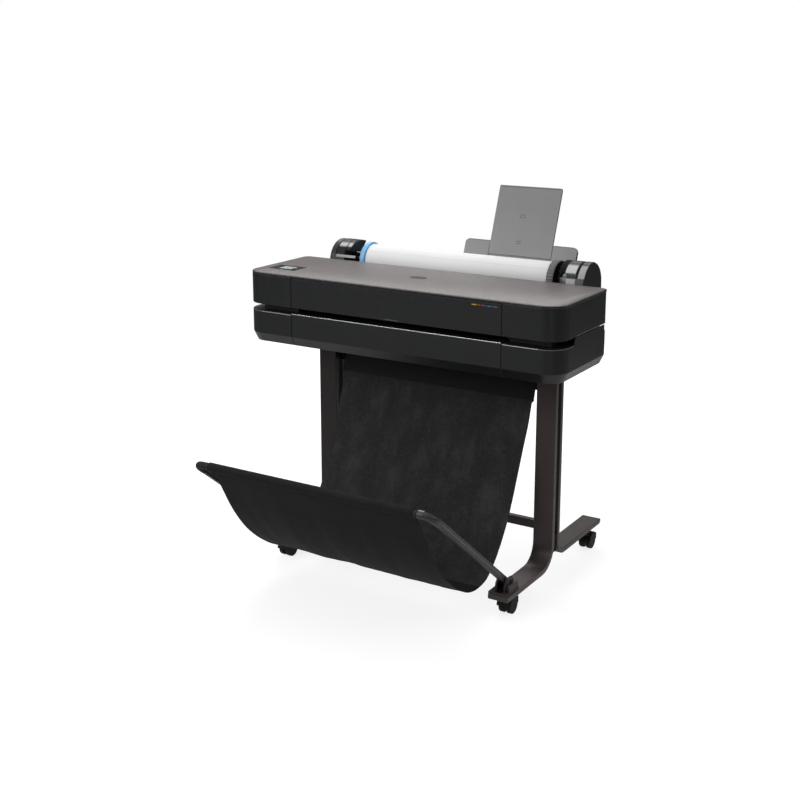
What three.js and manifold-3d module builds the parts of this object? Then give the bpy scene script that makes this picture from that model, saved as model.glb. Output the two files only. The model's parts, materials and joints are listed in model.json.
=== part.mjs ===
// Large format roll plotter on a rolling stand with a fabric catch bin and a rear sheet feeder.
// Units are millimetres, +Z up, +X to the user's right, the user stands on the -Y side.
import * as THREE from 'three';
import { mergeVertices } from 'three/addons/utils/BufferGeometryUtils.js';
import Module from 'manifold-3d';

const wasm = await Module();
wasm.setup();

// ---------------------------------------------------------------- driving dimensions
const Y_SHIFT = 120;            // moves the machine frame so the origin is under the box centre
const BODY_HALF_W = 506.5;      // half the overall width
const FRONT_Y = -200;           // front face of the body
const REAR_Y = 105;             // rear face of the main body
const TOP_Z = 860;              // top of the top cover
const COVER_T = 6;              // edge thickness of the top cover
const UP_Z0 = 767;              // underside of the upper half, above the paper exit
const LOW_Z1 = 747;             // top of the lower half, below the paper exit
const CHAMFER_Z = 680;          // where the lower chamfer starts
const BODY_Z0 = 654;            // underside of the body
const CHAMFER_IN = 12;          // inset of the chamfer at the underside
const WALL = 3;                 // moulded wall
const R_FRONT = 58;             // plan radius of the front corners
const R_REAR = 22;              // plan radius of the rear corners
const SEAM_X = 338;             // seam between centre panel and end caps
const RECESS = 40;              // depth of the paper exit recess
const GAP = 0.3;                // assembly clearance

const ROLL_Y = 182.3, ROLL_Z = 855.6;   // roll axis
const ROLL_R = 47.8, CORE_R = 28.5, CORE_BORE = 25.6, FLANGE_R = 54;
const ROLL_X0 = -305.5, ROLL_X1 = 304.5;
const FLANGE_L = -322.6, FLANGE_R_X = 327.4;
const HOLDER_R = 64.6, HOLDER_Z = 847.6, HOLDER_Y = 182.2;
const HOLDER_IN = 345, HOLDER_OUT = 425;
const HOLDER_BAY = 372, BAY_TOP = 886;  // the inner end of each holder is open to the front below this height
const BACK_Y = 248;             // rearmost face of the printer
const CRADLE_Z = 704;           // underside of the roll housing

const TRAY_Y = 253, TRAY_Z = 874, TRAY_TILT = 20;   // foot of the feeder tray and its lean from vertical
const TRAY_X0 = -28, TRAY_X1 = 339, TRAY_LEN = 62, TRAY_T = 8;
const EXT_X0 = 55, EXT_X1 = 260, EXT_TOP = 233, EXT_T = 3.4, EXT_LEN = 211;

const LEG_X0 = 339, LEG_X1 = 399;       // leg bars, width along X
const BAR_T = 15;                       // leg bar thickness
const FBAR_Y = 28, RBAR_Y = 63;     // centre planes of the front and rear bars
const FOOT_Z = 61.5;                    // centreline height of the front foot
const RFOOT_Z = 80;                     // centreline height of the rear foot
const FOOT_FRONT = -252, FOOT_REAR = 370.5;
const FBEND = 64, RBEND = 44;           // centreline bend radii
const LEG_TOP = 645;

const WHEEL_R = 24, CASTER_FY = -209, CASTER_RY = 321, CASTER_X = 371, TRAIL = 16;

const ARM_X = 366, ARM_PY = -206, ARM_PZ = 96;      // bin arm pivot
const BIN_Y = -600, BIN_Z = 408, BIN_R = 12;        // bin front bar axis and radius
const FABRIC_HALF_W = 318;              // half the width of the bin fabric

// ---------------------------------------------------------------- finishes
const mat = (color, roughness, metalness = 0) =>
  new THREE.MeshStandardMaterial({ color, roughness, metalness });
const M = {
  cover: () => mat(0x8b8180, 0.55), black: () => mat(0x26282a, 0.4), dark: () => mat(0x1a1b1d, 0.5),
  steel: () => mat(0x9a9da0, 0.3, 1), chrome: () => mat(0xd4d6d8, 0.15, 1), brown: () => mat(0x3a3130, 0.5, 0.3),
  bracket: () => mat(0x4a4040, 0.55), fabric: () => mat(0x222222, 0.95), arm: () => mat(0x454545, 0.5),
  tray: () => mat(0x8d8d8d, 0.6), paper: () => mat(0xf1f1f4, 0.85), blue: () => mat(0x6fb1ee, 0.45),
  grey: () => mat(0x6b6b6b, 0.5), rubber: () => mat(0x17191b, 0.8), screen: () => mat(0xbfd6d2, 0.2),
  glass: () => mat(0x101214, 0.15), board: () => mat(0xb49a70, 0.9), belt: () => mat(0x151515, 0.8),
  yellow: () => mat(0xe0b83a, 0.5), magenta: () => mat(0xb03068, 0.5), cyan: () => mat(0x2f86b8, 0.5), ink: () => mat(0x303030, 0.5),
};

// ---------------------------------------------------------------- solid helpers
function solid(geometry) {
  const g = geometry.clone();
  g.deleteAttribute('normal'); g.deleteAttribute('uv');
  const m = mergeVertices(g, 1e-3);
  const src = m.index.array, tri = [];
  for (let i = 0; i < src.length; i += 3) {
    const a = src[i], b = src[i + 1], c = src[i + 2];
    if (a !== b && b !== c && a !== c) tri.push(a, b, c);
  }
  return new wasm.Manifold(new wasm.Mesh({ numProp: 3,
    vertProperties: new Float32Array(m.attributes.position.array), triVerts: new Uint32Array(tri) }));
}
function geometryOf(man) {
  const m = man.getMesh();
  const g = new THREE.BufferGeometry();
  g.setAttribute('position', new THREE.BufferAttribute(new Float32Array(m.vertProperties), 3));
  g.setIndex(new THREE.BufferAttribute(new Uint32Array(m.triVerts), 1));
  g.computeVertexNormals();
  return g;
}
const box = (x0, x1, y0, y1, z0, z1) =>
  solid(new THREE.BoxGeometry(x1 - x0, y1 - y0, z1 - z0).translate((x0 + x1) / 2, (y0 + y1) / 2, (z0 + z1) / 2));
const shapeOf = (pts) => new THREE.Shape(pts.map(([a, b]) => new THREE.Vector2(a, b)));
// A profile in the YZ plane, extruded along X.
function prismX(pts, x0, x1) {
  const g = new THREE.ExtrudeGeometry(shapeOf(pts), { depth: x1 - x0, bevelEnabled: false, steps: 1 });
  const basis = new THREE.Matrix4().makeBasis(new THREE.Vector3(0, 1, 0), new THREE.Vector3(0, 0, 1), new THREE.Vector3(1, 0, 0));
  g.applyMatrix4(basis).translate(x0, 0, 0);
  return solid(g);
}
// A plan outline extruded along Z.
function prismZ(pts, z0, z1) {
  const g = new THREE.ExtrudeGeometry(shapeOf(pts), { depth: z1 - z0, bevelEnabled: false, steps: 1 });
  return solid(g.translate(0, 0, z0));
}
function cylX(r, x0, x1, y, z, seg = 20, phase = 0) {
  const g = new THREE.CylinderGeometry(r, r, x1 - x0, seg, 1);
  g.rotateY(phase).rotateZ(Math.PI / 2).translate((x0 + x1) / 2, y, z);
  return solid(g);
}
function cylZ(r, z0, z1, x, y, seg = 16, r1 = r) {
  const g = new THREE.CylinderGeometry(r1, r, z1 - z0, seg, 1);
  g.rotateX(Math.PI / 2).translate(x, y, (z0 + z1) / 2);
  return solid(g);
}
function cylY(r, y0, y1, x, z, seg = 16) {
  const g = new THREE.CylinderGeometry(r, r, y1 - y0, seg, 1);
  g.translate(x, (y0 + y1) / 2, z);
  return solid(g);
}
// Rounded rectangle in plan: rf is the radius of the two front corners, rr of the two rear corners.
function rrect(x0, x1, y0, y1, rf, rr, n = 7) {
  const pts = [];
  const arc = (cx, cy, r, a0, a1) => {
    for (let i = 0; i <= n; i++) {
      const a = a0 + (a1 - a0) * i / n;
      pts.push([cx + r * Math.cos(a), cy + r * Math.sin(a)]);
    }
  };
  arc(x0 + rf, y0 + rf, rf, Math.PI, 1.5 * Math.PI);
  arc(x1 - rf, y0 + rf, rf, 1.5 * Math.PI, 2 * Math.PI);
  arc(x1 - rr, y1 - rr, rr, 0, 0.5 * Math.PI);
  arc(x0 + rr, y1 - rr, rr, 0.5 * Math.PI, Math.PI);
  return pts;
}
// Lower body form with its chamfered underside, inset by t all round.
function lowerForm(t, ztop) {
  const pts = rrect(-BODY_HALF_W + t, BODY_HALF_W - t, FRONT_Y + t, REAR_Y - t, R_FRONT - t, R_REAR - t);
  const thick = CHAMFER_Z - BODY_Z0 - t * 0.35;
  const g = new THREE.ExtrudeGeometry(shapeOf(pts), { depth: 120, steps: 1, bevelEnabled: true, bevelSegments: 1,
    bevelThickness: thick, bevelSize: CHAMFER_IN, bevelOffset: -CHAMFER_IN });
  g.translate(0, 0, BODY_Z0 + t + thick);
  return solid(g).intersect(box(-600, 600, -300, 300, 500, ztop));
}
const group = new THREE.Group();
group.position.y = Y_SHIFT;
function add(name, man, material) {
  const mesh = new THREE.Mesh(geometryOf(man), material);
  mesh.name = name;
  group.add(mesh);
  return mesh;
}

// ---------------------------------------------------------------- lower half of the body
const lowerShell = lowerForm(0, LOW_Z1).subtract(lowerForm(WALL, LOW_Z1 - WALL))
  .subtract(box(-466, 466, FRONT_Y + RECESS, 98, 700, 760))       // open inside the exit recess
  .subtract(box(-495, 495, -60, 98, 700, 760))
  .subtract(box(-466, 466, -158, 98, 600, 690));                  // open over the floor plate
const cheek = prismX([[-114, 746], [-107, 764.2], [102, 764.8], [102, 746]], BODY_HALF_W - WALL, BODY_HALF_W);
const cheekL = prismX([[-114, 746], [-107, 764.2], [102, 764.8], [102, 746]], -BODY_HALF_W, -BODY_HALF_W + WALL);
const frontClip = box(-600, 600, -300, -145, 600, 800);
add('lower_left_cap', lowerShell.intersect(box(-600, -SEAM_X - 0.4, -300, 300, 600, 800)).add(
  cheekL.intersect(box(-600, 600, -300, REAR_Y - R_REAR, 600, 800))), M.black());
add('lower_right_cap', lowerShell.intersect(box(SEAM_X + 0.4, 600, -300, 300, 600, 800)).add(
  cheek.intersect(box(-600, 600, -300, REAR_Y - R_REAR, 600, 800))), M.black());
add('lower_front_panel', lowerShell.intersect(box(-SEAM_X + 0.4, SEAM_X - 0.4, -300, 0, 600, 800)).intersect(frontClip), M.black());
add('exit_trim_strip', box(-337.6, 337.6, -199.4, -194, 747.3, 749.2), M.chrome());

// floor plate and the two L-shaped side frames that carry everything
add('floor_plate', box(-465.5, 465.5, -157.5, 97.5, BODY_Z0 + 0.3, BODY_Z0 + 5), M.steel());
for (const [n, s] of [['left', -1], ['right', 1]]) {
  const a = Math.min(s * 464, s * 458), b = Math.max(s * 464, s * 458);
  const c = Math.min(s * 342, s * 464), d = Math.max(s * 342, s * 464);
  add(n + '_side_frame', box(a, b, -159, 94, 659.4, 851).add(box(c, d, -159, -156, 659.4, 851))
    .subtract(cylX(9.6, -500, 500, -40, 806, 16)).subtract(cylX(13.4, -500, 500, 62, 762, 20)), M.steel());
}
add('exit_platen', box(-336, 336, -158, 40, 738, 746.6).subtract(box(-320, 320, -95, -60, 744, 750)), M.dark());

// ---------------------------------------------------------------- upper half of the body
const upOuter = prismZ(rrect(-BODY_HALF_W, BODY_HALF_W, FRONT_Y, REAR_Y, R_FRONT, R_REAR), UP_Z0, TOP_Z - COVER_T - GAP);
const upInner = prismZ(rrect(-BODY_HALF_W + WALL, BODY_HALF_W - WALL, FRONT_Y + WALL, REAR_Y - WALL, R_FRONT - WALL, R_REAR - WALL),
  UP_Z0 + WALL, TOP_Z + 20);
const upperShell = upOuter.subtract(upInner).subtract(box(-466, 466, FRONT_Y + RECESS, 98, 700, 790)).subtract(box(-495, 495, -60, 98, 700, 790));
add('upper_left_cap', upperShell.intersect(box(-600, -SEAM_X - 0.4, -300, 300, 600, 900)), M.black());
add('upper_right_cap', upperShell.intersect(box(SEAM_X + 0.4, 600, -300, 300, 600, 900)), M.black());
// the centre of the upper front is a window that swings up on its top edge
add('front_window', prismX([[-200, 767], [-200, 852.3], [-194, 852.3], [-194, 849], [-197, 846], [-197, 770], [-164, 770], [-164, 767]],
  -SEAM_X + 0.6, SEAM_X - 0.6), M.black());
add('rear_panel', lowerShell.intersect(box(-SEAM_X + 0.4, SEAM_X - 0.4, 60, 300, 600, 740))
  .add(box(-SEAM_X + 0.4, SEAM_X - 0.4, REAR_Y - WALL, REAR_Y, 700, 853.6)), M.black());
add('top_cover', prismZ(rrect(-BODY_HALF_W, BODY_HALF_W, FRONT_Y, REAR_Y + 3, R_FRONT, R_REAR), TOP_Z - COVER_T, TOP_Z)
  .subtract(box(-467, -389, -130, -66, 857, 862)), M.cover());

// control panel: bezel with a touch screen and a power key
add('display_bezel', box(-466.6, -389.4, -129.6, -66.4, 857.3, 861).subtract(box(-461, -401, -118, -74, 858.9, 863))
  .subtract(cylZ(5, 850, 870, -395.5, -96, 12)), M.glass());
add('display_screen', box(-460.7, -401.3, -117.7, -74.3, 859.2, 860.6), M.screen());
add('power_key', cylZ(4.6, 858.6, 862.2, -395.5, -96, 12), M.grey());

// ---------------------------------------------------------------- print engine inside the body
add('carriage_rail', cylX(8, -457.5, 457.5, -40, 806, 16), M.chrome());
add('carriage', box(-60, 60, -95, -12, 778, 838).subtract(cylX(8.5, -100, 100, -40, 806, 16))
  .subtract(box(-52, 52, -90, -54, 792, 860)).add(box(-40, 40, -92, -60, 764, 779)), M.dark());
const inks = [['yellow', -51], ['magenta', -25], ['cyan', 1], ['black', 27]];
for (const [n, x] of inks) add('ink_' + n, box(x, x + 24, -89, -55, 792.4, 846), n === 'yellow' ? M.yellow() : n === 'magenta' ? M.magenta() : n === 'cyan' ? M.cyan() : M.ink());
add('feed_roller', cylX(13, -470, 457, 62, 762, 20), M.rubber());
add('feed_pulley', cylX(21.6, -482, -470.4, 62, 762, 24), M.grey());
add('feed_motor', cylX(19, -457.5, -405, 20, 700, 20), M.steel());
add('motor_pulley', cylX(8, -482, -470.4, 20, 700, 16).add(cylX(3, -470.6, -464.5, 20, 700, 12)), M.steel());
{
  // timing belt round the two feed pulleys
  const p1 = [62, 762, 22.6], p2 = [20, 700, 8.6];
  const dy = p1[0] - p2[0], dz = p1[1] - p2[1], d = Math.hypot(dy, dz), th = Math.atan2(dz, dy);
  const ring = (t) => {
    const pts = [], r1 = p1[2] + t, r2 = p2[2] + t, be = Math.acos((r2 - r1) / d);
    for (let i = 0; i <= 12; i++) { const a = th - be + 2 * be * i / 12; pts.push([p1[0] + r1 * Math.cos(a), p1[1] + r1 * Math.sin(a)]); }
    for (let i = 0; i <= 8; i++) { const a = th + be + (2 * Math.PI - 2 * be) * i / 8; pts.push([p2[0] + r2 * Math.cos(a), p2[1] + r2 * Math.sin(a)]); }
    return pts;
  };
  add('feed_belt', prismX(ring(1.8), -480, -472.4).subtract(prismX(ring(0.25), -481, -471)), M.belt());
}
add('maintenance_station', box(352, 448, -100, -20, 690, 756).subtract(box(360, 440, -92, -28, 730, 760)), M.dark());

// ---------------------------------------------------------------- roll housing behind the body
add('roll_cradle', prismX([[108.4, CRADLE_Z], [BACK_Y, CRADLE_Z], [BACK_Y, 806], [BACK_Y - 3, 806], [BACK_Y - 3, CRADLE_Z + 3],
  [111.4, CRADLE_Z + 3], [111.4, 848], [108.4, 848]], -HOLDER_IN + 0.4, HOLDER_IN - 0.4), M.dark());
function holder(s) {
  const pts = [[112, CRADLE_Z], [BACK_Y, CRADLE_Z]];
  for (let i = 0; i <= 16; i++) { const a = Math.PI * i / 16; pts.push([HOLDER_Y + HOLDER_R * Math.cos(a) - (i === 0 ? 0.4 : 0), HOLDER_Z + HOLDER_R * Math.sin(a)]); }
  pts.push([117.2, 800], [112, 790]);
  const x0 = s > 0 ? HOLDER_IN : -HOLDER_OUT, x1 = s > 0 ? HOLDER_OUT : -HOLDER_IN;
  const pocket = s > 0 ? [HOLDER_IN - 2, 392] : [-392, -HOLDER_IN + 2];
  const k = 20.6 * Math.SQRT1_2, e = 90;        // slot that the spindle end is lifted out of, up and to the rear
  const slot = prismX([[ROLL_Y + k, ROLL_Z - k], [ROLL_Y + k + e, ROLL_Z - k + e], [ROLL_Y - k + e, ROLL_Z + k + e], [ROLL_Y - k, ROLL_Z + k]], pocket[0], pocket[1]);
  const b0 = s > 0 ? HOLDER_IN - 2 : -HOLDER_BAY, b1 = s > 0 ? HOLDER_BAY : -HOLDER_IN + 2;
  return prismX(pts, x0, x1).subtract(cylX(21.5, pocket[0], pocket[1], ROLL_Y, ROLL_Z, 24)).subtract(slot)
    .subtract(box(b0, b1, 100, ROLL_Y + 14, 812, BAY_TOP));
}
add('left_roll_holder', holder(-1), M.dark());
add('right_roll_holder', holder(1), M.dark());

// spindle with its hubs, and the media roll it carries
add('spindle_rod', cylX(12, -385, 385, ROLL_Y, ROLL_Z, 20).add(cylX(20, 336, 385, ROLL_Y, ROLL_Z, 24)).add(cylX(20, -385, -332, ROLL_Y, ROLL_Z, 24)), M.glass());
const ring = (r, ri, x0, x1, n) => cylX(r, x0, x1, ROLL_Y, ROLL_Z, n).subtract(cylX(ri, x0 - 1, x1 + 1, ROLL_Y, ROLL_Z, n));
add('left_hub_flange', ring(FLANGE_R, 12.5, FLANGE_L, ROLL_X0 - 0.3, 32).add(ring(25, 12.5, -306, -270, 24)), M.blue());
add('right_hub_flange', ring(FLANGE_R, 12.5, ROLL_X1 + 0.3, FLANGE_R_X, 32).add(ring(25, 12.5, 270, 305, 24)), M.grey());
add('roll_core', ring(CORE_R, CORE_BORE, ROLL_X0, ROLL_X1, 24), M.board());
add('paper_roll', ring(ROLL_R, CORE_R + 0.3, ROLL_X0, ROLL_X1, 36), M.paper());

// ---------------------------------------------------------------- rear sheet feeder
const T = THREE.MathUtils.degToRad(TRAY_TILT);
function leaned(build) {   // built upright on its foot line at the origin, then leaned back
  const g = geometryOf(build);
  g.rotateX(-T).translate(0, TRAY_Y, TRAY_Z);
  return solid(g);
}
const rrUp = (x0, x1, z0, z1, r, y0, y1) => {
  const p = [[x0, z0], [x1, z0]];
  for (let i = 0; i <= 4; i++) { const a = i * Math.PI / 8; p.push([x1 - r + r * Math.cos(a), z1 - r + r * Math.sin(a)]); }
  for (let i = 0; i <= 4; i++) { const a = Math.PI / 2 + i * Math.PI / 8; p.push([x0 + r + r * Math.cos(a), z1 - r + r * Math.sin(a)]); }
  const g = new THREE.ExtrudeGeometry(shapeOf(p), { depth: y1 - y0, bevelEnabled: false, steps: 1 });
  g.applyMatrix4(new THREE.Matrix4().makeBasis(new THREE.Vector3(1, 0, 0), new THREE.Vector3(0, 0, 1), new THREE.Vector3(0, -1, 0))).translate(0, y1, 0);
  return solid(g);
};
add('feeder_tray', leaned(rrUp(TRAY_X0, TRAY_X1, -7.4, TRAY_LEN, 12, -4, 4)
  .subtract(box(EXT_X0 - 0.5, EXT_X1 + 0.5, -5, -0.2, -20, 90))), M.tray());
add('tray_extension', leaned(rrUp(EXT_X0, EXT_X1, EXT_TOP - EXT_LEN, EXT_TOP, 5, -4, -4 + EXT_T)), M.tray());
add('feeder_mount', box(TRAY_X0 + 4, TRAY_X1 - 4, BACK_Y + 0.3, 258, 720, 865.5)
  .subtract(box(EXT_X0 - 3, EXT_X1 + 3, 240, 260, 836, 900)), M.dark());
add('power_inlet', box(-300, -262, BACK_Y + 0.3, 262, 716, 742).subtract(box(-296, -266, 251, 264, 720, 738)), M.dark());

// ---------------------------------------------------------------- stand
function bentBar(yc, zc, tip, R, dir, bevel) {
  // vertical bar that bends with centreline radius R into a level foot; dir is -1 to the front, +1 to the rear
  const h = BAR_T / 2, n = 8, outer = [], inner = [];
  for (let i = 0; i <= n; i++) {
    const a = i / n * Math.PI / 2;
    const cy = yc + dir * R, cz = zc + R;
    outer.push([cy - dir * (R + h) * Math.cos(a), cz - (R + h) * Math.sin(a)]);
    inner.push([cy - dir * (R - h) * Math.cos(a), cz - (R - h) * Math.sin(a)]);
  }
  const pts = [[yc - dir * h, LEG_TOP], ...outer, [tip - dir * bevel, zc - h], [tip, zc - h + bevel], [tip, zc + h], ...inner.reverse(), [yc + dir * h, LEG_TOP]];
  return dir > 0 ? pts : pts.reverse();
}
for (const [n, s] of [['left', -1], ['right', 1]]) {
  const x0 = s > 0 ? LEG_X0 : -LEG_X1, x1 = s > 0 ? LEG_X1 : -LEG_X0, xc = s * (LEG_X0 + LEG_X1) / 2;
  add(n + '_leg_front_bar', prismX(bentBar(FBAR_Y, FOOT_Z, FOOT_FRONT, FBEND, -1, 2), x0, x1)
    .add(box(xc - 38, xc + 38, 4, 92, LEG_TOP - 0.1, BODY_Z0 - 0.1)), M.brown());
  add(n + '_leg_rear_bar', prismX(bentBar(RBAR_Y, RFOOT_Z, FOOT_REAR, RBEND, 1, 6), x0, x1)
    .intersect(box(-600, 600, -600, 600, 0, LEG_TOP - 0.4)), M.brown());
}
add('cross_bar', box(-LEG_X1 + 8, LEG_X1 - 8, FBAR_Y + 8.3, RBAR_Y - 8.3, 155, 180), M.brown());

// casters: a swivel head with a rib between two wheels on one axle
function casterSwivel(x, y, top) {
  const ay = y + TRAIL, az = WHEEL_R;
  const hood = cylX(WHEEL_R + 4.5, x - 21, x + 21, ay, az, 28).subtract(cylX(WHEEL_R + 1.6, x - 18.6, x + 18.6, ay, az, 28).subtract(box(x - 4, x + 4, ay - 60, ay + 60, 0, 90)))
    .intersect(box(x - 40, x + 40, ay - 60, ay + 60, 26, 90)).intersect(box(x - 40, x + 40, ay - 40, ay + 21, 0, 51.6));
  return hood.add(cylX(9, x - 4, x + 4, ay, az, 16)).add(cylZ(14, 46, 51.6, x, y, 16)).add(cylZ(5.5, 50, top, x, y, 14))
    .subtract(cylX(3.5, x - 60, x + 60, ay, az, 12)).subtract(cylX(WHEEL_R + 1.6, x + 4, x + 18.6, ay, az, 28)).subtract(cylX(WHEEL_R + 1.6, x - 18.6, x - 4, ay, az, 28));
}
function casterWheel(x, y) {
  const ay = y + TRAIL, az = WHEEL_R, R = WHEEL_R / Math.cos(Math.PI / 24), ph = Math.PI / 24;
  return cylX(R, x + 5, x + 17.6, ay, az, 24, ph).add(cylX(R, x - 17.6, x - 5, ay, az, 24, ph)).add(cylX(3.1, x - 17, x + 17, ay, az, 12));
}
const casters = [['front_left', -CASTER_X, CASTER_FY, FOOT_Z], ['front_right', CASTER_X, CASTER_FY, FOOT_Z],
  ['rear_left', -CASTER_X, CASTER_RY, RFOOT_Z], ['rear_right', CASTER_X, CASTER_RY, RFOOT_Z]];
for (const [n, x, y, fz] of casters) {
  add('caster_' + n, casterSwivel(x, y, fz - BAR_T / 2 - 0.3), M.rubber());
  add('caster_wheel_' + n, casterWheel(x, y), M.rubber());
}

// ---------------------------------------------------------------- catch bin
function armBracket(s) {
  const mir = (a, b) => s > 0 ? [a, b] : [-b, -a];
  const bx = (a, b, y0, y1, z0, z1) => { const [p, q] = mir(a, b); return box(p, q, y0, y1, z0, z1); };
  const top = FOOT_Z + BAR_T / 2 + 0.3;
  const ear = (a, b) => { const [p, q] = mir(a, b); return prismX([[-236, top], [-180, top], [-184, 96], [-194, 108], [-218, 108], [-230, 96]], p, q); };
  return bx(339, 394, -250, -176, top, top + 6).add(ear(350, 356)).add(ear(376, 382)).add(bx(385.5, 393, -232, -180, top, 92))
    .subtract(cylX(5.3, s * ARM_X - 60, s * ARM_X + 60, ARM_PY, ARM_PZ, 12));
}
add('left_arm_bracket', armBracket(-1), M.bracket());
add('right_arm_bracket', armBracket(1), M.bracket());

// each arm is a flat tube from its pivot to a moulded corner at the end of the front bar
function arm(s) {
  const dy = BIN_Y + 22 - ARM_PY, dz = BIN_Z - 17 - ARM_PZ, L = Math.hypot(dy, dz), uy = dy / L, uz = dz / L, ny = -uz, nz = uy;
  const h = 9, pts = [];
  for (let i = 0; i <= 8; i++) {
    const a = -Math.PI / 2 - i * Math.PI / 8;
    pts.push([ARM_PY + h * (uy * Math.cos(a) + ny * Math.sin(a)), ARM_PZ + h * (uz * Math.cos(a) + nz * Math.sin(a))]);
  }
  const E = [ARM_PY + uy * L, ARM_PZ + uz * L];
  pts.push([E[0] + ny * h, E[1] + nz * h], [E[0] - ny * h, E[1] - nz * h]);
  const area = pts.reduce((t, p, i) => { const q = pts[(i + 1) % pts.length]; return t + p[0] * q[1] - q[0] * p[1]; }, 0);
  const x0 = s * ARM_X - 6, x1 = s * ARM_X + 6;
  return prismX(area > 0 ? pts : pts.slice().reverse(), x0, x1).add(cylX(4.7, s * ARM_X - 14, s * ARM_X + 14, ARM_PY, ARM_PZ, 12));
}
// a moulded elbow turns the arm into the line of the front bar
function corner(s) {
  const p = new THREE.CatmullRomCurve3([new THREE.Vector3(s * 330.6, BIN_Y, BIN_Z), new THREE.Vector3(s * 347, BIN_Y + 0.6, BIN_Z - 0.4),
    new THREE.Vector3(s * 361.5, BIN_Y + 8, BIN_Z - 6), new THREE.Vector3(s * ARM_X, BIN_Y + 26, BIN_Z - 20)], false, 'catmullrom', 0.5);
  const sec = []; for (let i = 0; i < 10; i++) { const a = i * Math.PI / 5; sec.push([9.5 * Math.cos(a), 9.5 * Math.sin(a)]); }
  return solid(new THREE.ExtrudeGeometry(shapeOf(sec), { steps: 10, bevelEnabled: false, extrudePath: p }));
}
add('left_bin_arm', arm(-1).add(corner(-1)), M.arm());
add('right_bin_arm', arm(1).add(corner(1)), M.arm());
add('bin_front_bar', cylX(BIN_R - 1.5, -329.2, 329.2, BIN_Y, BIN_Z, 16), M.arm());

// fabric: the hanging rear panel on the stand, and the front panel carried by the arms
function ribbon(path, t) {
  const L = [], R = [];
  for (let i = 0; i < path.length; i++) {
    const a = path[Math.max(0, i - 1)], b = path[Math.min(path.length - 1, i + 1)];
    const dx = b[0] - a[0], dz = b[1] - a[1], l = Math.hypot(dx, dz);
    L.push([path[i][0] - dz / l * t / 2, path[i][1] + dx / l * t / 2]);
    R.push([path[i][0] + dz / l * t / 2, path[i][1] - dx / l * t / 2]);
  }
  const pts = [...L, ...R.reverse()];
  const area = pts.reduce((s, p, i) => { const q = pts[(i + 1) % pts.length]; return s + p[0] * q[1] - q[0] * p[1]; }, 0);
  return area > 0 ? pts : pts.reverse();
}
const rearPath = [[57, 648], [54, 605], [47, 570], [38, 538], [30, 508], [21, 476], [10, 446], [-14, 390], [-40, 330], [-66, 270], [-91, 221], [-119, 178], [-146, 143], [-176, 113], [-203, 92.5]];
const frontPath = [[-213, 87], [-245, 80.5], [-280, 81], [-315, 89], [-350, 106], [-385, 129], [-420, 156], [-455, 189], [-490, 231], [-522, 279], [-548, 326], [-570, 366], [-588, 396]];
add('bin_fabric_rear', prismX(ribbon(rearPath, 5), -FABRIC_HALF_W, FABRIC_HALF_W), M.fabric());
add('bin_fabric_front', prismX(ribbon(frontPath, 5), -FABRIC_HALF_W, FABRIC_HALF_W).subtract(cylX(BIN_R - 0.9, -400, 400, BIN_Y, BIN_Z, 20)), M.fabric());

export default group;
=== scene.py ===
import bpy, bmesh, math, json, random
from mathutils import Vector, Matrix, noise

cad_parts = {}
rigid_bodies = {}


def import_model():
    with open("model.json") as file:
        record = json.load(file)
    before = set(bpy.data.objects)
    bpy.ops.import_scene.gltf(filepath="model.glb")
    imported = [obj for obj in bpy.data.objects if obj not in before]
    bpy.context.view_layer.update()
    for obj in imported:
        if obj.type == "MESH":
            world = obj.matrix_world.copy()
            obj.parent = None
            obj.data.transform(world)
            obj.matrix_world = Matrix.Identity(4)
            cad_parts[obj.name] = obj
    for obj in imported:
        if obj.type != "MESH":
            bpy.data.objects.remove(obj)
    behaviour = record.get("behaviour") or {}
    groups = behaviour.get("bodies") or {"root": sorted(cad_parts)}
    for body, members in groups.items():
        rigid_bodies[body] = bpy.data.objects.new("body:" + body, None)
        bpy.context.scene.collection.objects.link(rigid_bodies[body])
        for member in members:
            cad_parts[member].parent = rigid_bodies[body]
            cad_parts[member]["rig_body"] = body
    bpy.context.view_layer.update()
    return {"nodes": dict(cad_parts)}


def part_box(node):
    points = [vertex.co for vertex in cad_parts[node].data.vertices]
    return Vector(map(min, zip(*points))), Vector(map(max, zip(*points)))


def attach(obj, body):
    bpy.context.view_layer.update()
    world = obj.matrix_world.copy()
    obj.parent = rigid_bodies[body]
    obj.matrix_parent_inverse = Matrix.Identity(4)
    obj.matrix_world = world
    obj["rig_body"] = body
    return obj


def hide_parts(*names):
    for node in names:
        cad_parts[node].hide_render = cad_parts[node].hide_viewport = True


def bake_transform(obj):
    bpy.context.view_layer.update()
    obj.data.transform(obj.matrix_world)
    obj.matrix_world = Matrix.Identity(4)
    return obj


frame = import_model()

NODES = frame["nodes"]
ROOT = "printer_and_stand"
S = 0.120                      # machine frame to row frame along Y, metres
random.seed(7)


def P(x, y, z):
    """A point of the machine frame, in mm, as a point of the row frame, in metres."""
    return Vector((x / 1000.0, y / 1000.0 + S, z / 1000.0))


# ------------------------------------------------------------------ camera
cam_data = bpy.data.cameras.new("camera")
cam = bpy.data.objects.new("camera", cam_data)
bpy.context.scene.collection.objects.link(cam)
bpy.context.scene.camera = cam
AZ, EL = math.radians(31.924), math.radians(12.854)
fwd = Vector((-math.sin(AZ) * math.cos(EL), math.cos(AZ) * math.cos(EL), -math.sin(EL)))
cam.location = P(1782.98, -3014.33, 1508.70)
cam.rotation_euler = fwd.to_track_quat("-Z", "Y").to_euler()
cam_data.sensor_width = 36.0
cam_data.lens = 56.22
cam_data.shift_y = -0.09
cam_data.clip_end = 60

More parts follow.
